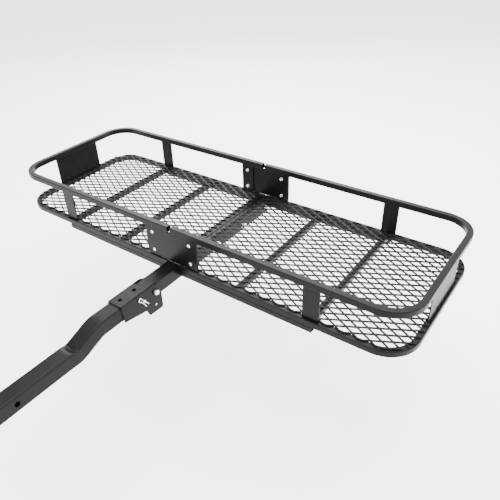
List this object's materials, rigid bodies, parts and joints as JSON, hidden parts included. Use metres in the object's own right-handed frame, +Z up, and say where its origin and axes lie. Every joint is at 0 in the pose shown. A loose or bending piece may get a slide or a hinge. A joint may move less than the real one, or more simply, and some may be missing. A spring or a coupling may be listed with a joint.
{
  "type": "folding hitch cargo carrier",
  "caption": "Folding steel cargo basket on a drop shank for a hitch receiver, with mesh floor, raised rail and lock pin.",
  "frame": {"origin": "centre of the hitch-pin hole in the shank, on the shank's axis", "axes": "+X along the length of the basket and along the hitch pin, +Y from the vehicle towards the basket, along the shank, +Z up"},
  "size_m": [1.564, 1.234, 0.2366],
  "materials": {
    "black_powder_coat": "satin black powder coat with a fine orange peel",
    "mesh_coat": "satin black coat on expanded steel mesh",
    "zinc_hardware": "bright zinc plate",
    "cap_plastic": "black moulded plastic"
  },
  "bodies": {
    "hitch_mount": {"bent_shank": "black_powder_coat", "hinge_bracket": "black_powder_coat", "shank_welds": "black_powder_coat", "pivot_bolt": "zinc_hardware", "pivot_nut": "zinc_hardware", "pivot_washers": "black_powder_coat"},
    "carrier": {"main_tube": "black_powder_coat", "tube_end_cap": "cap_plastic", "arm_front_left": "black_powder_coat", "arm_front_right": "black_powder_coat", "arm_rear_left": "black_powder_coat", "arm_rear_right": "black_powder_coat", "top_rail_left": "black_powder_coat", "bottom_rail_left": "black_powder_coat", "seam_angle_left": "black_powder_coat", "crossbar_left_inner": "black_powder_coat", "crossbar_left_outer": "black_powder_coat", "upright_front_left": "black_powder_coat", "upright_rear_left": "black_powder_coat", "seam_tab_front_left": "black_powder_coat", "seam_tab_rear_left": "black_powder_coat", "end_panel_left": "black_powder_coat", "mesh_floor_left": "mesh_coat", "top_rail_right": "black_powder_coat", "bottom_rail_right": "black_powder_coat", "seam_angle_right": "black_powder_coat", "crossbar_right_inner": "black_powder_coat", "crossbar_right_outer": "black_powder_coat", "upright_front_right": "black_powder_coat", "upright_rear_right": "black_powder_coat", "seam_tab_front_right": "black_powder_coat", "seam_tab_rear_right": "black_powder_coat", "end_panel_right": "black_powder_coat", "mesh_floor_right": "mesh_coat", "joining_plate_front": "black_powder_coat", "plate_bolts_front": "zinc_hardware", "plate_washers_front": "zinc_hardware", "plate_nuts_front": "zinc_hardware", "joining_plate_rear": "black_powder_coat", "plate_bolts_rear": "zinc_hardware", "plate_washers_rear": "zinc_hardware", "plate_nuts_rear": "zinc_hardware", "seam_bolts": "zinc_hardware", "seam_washers": "zinc_hardware", "seam_nuts": "zinc_hardware"},
    "lock_pin": {"lock_pin": "zinc_hardware"},
    "lock_clip": {"lock_clip": "zinc_hardware"}
  },
  "joints": [
    {"name": "fold", "type": "hinge", "parent": "hitch_mount", "child": "carrier", "pos_m": [0, 0.5, 0.03], "axis": [1, 0, 0], "range_deg": [0, 90]},
    {"name": "lock_pin_play", "type": "slide", "parent": "hitch_mount", "child": "lock_pin", "axis": [1, 0, 0], "range_m": [-0.0015, 0.001]},
    {"name": "clip_pull", "type": "slide", "parent": "lock_pin", "child": "lock_clip", "axis": [0, -0.6157, 0.788], "range_m": [0, 0.045]}
  ]
}
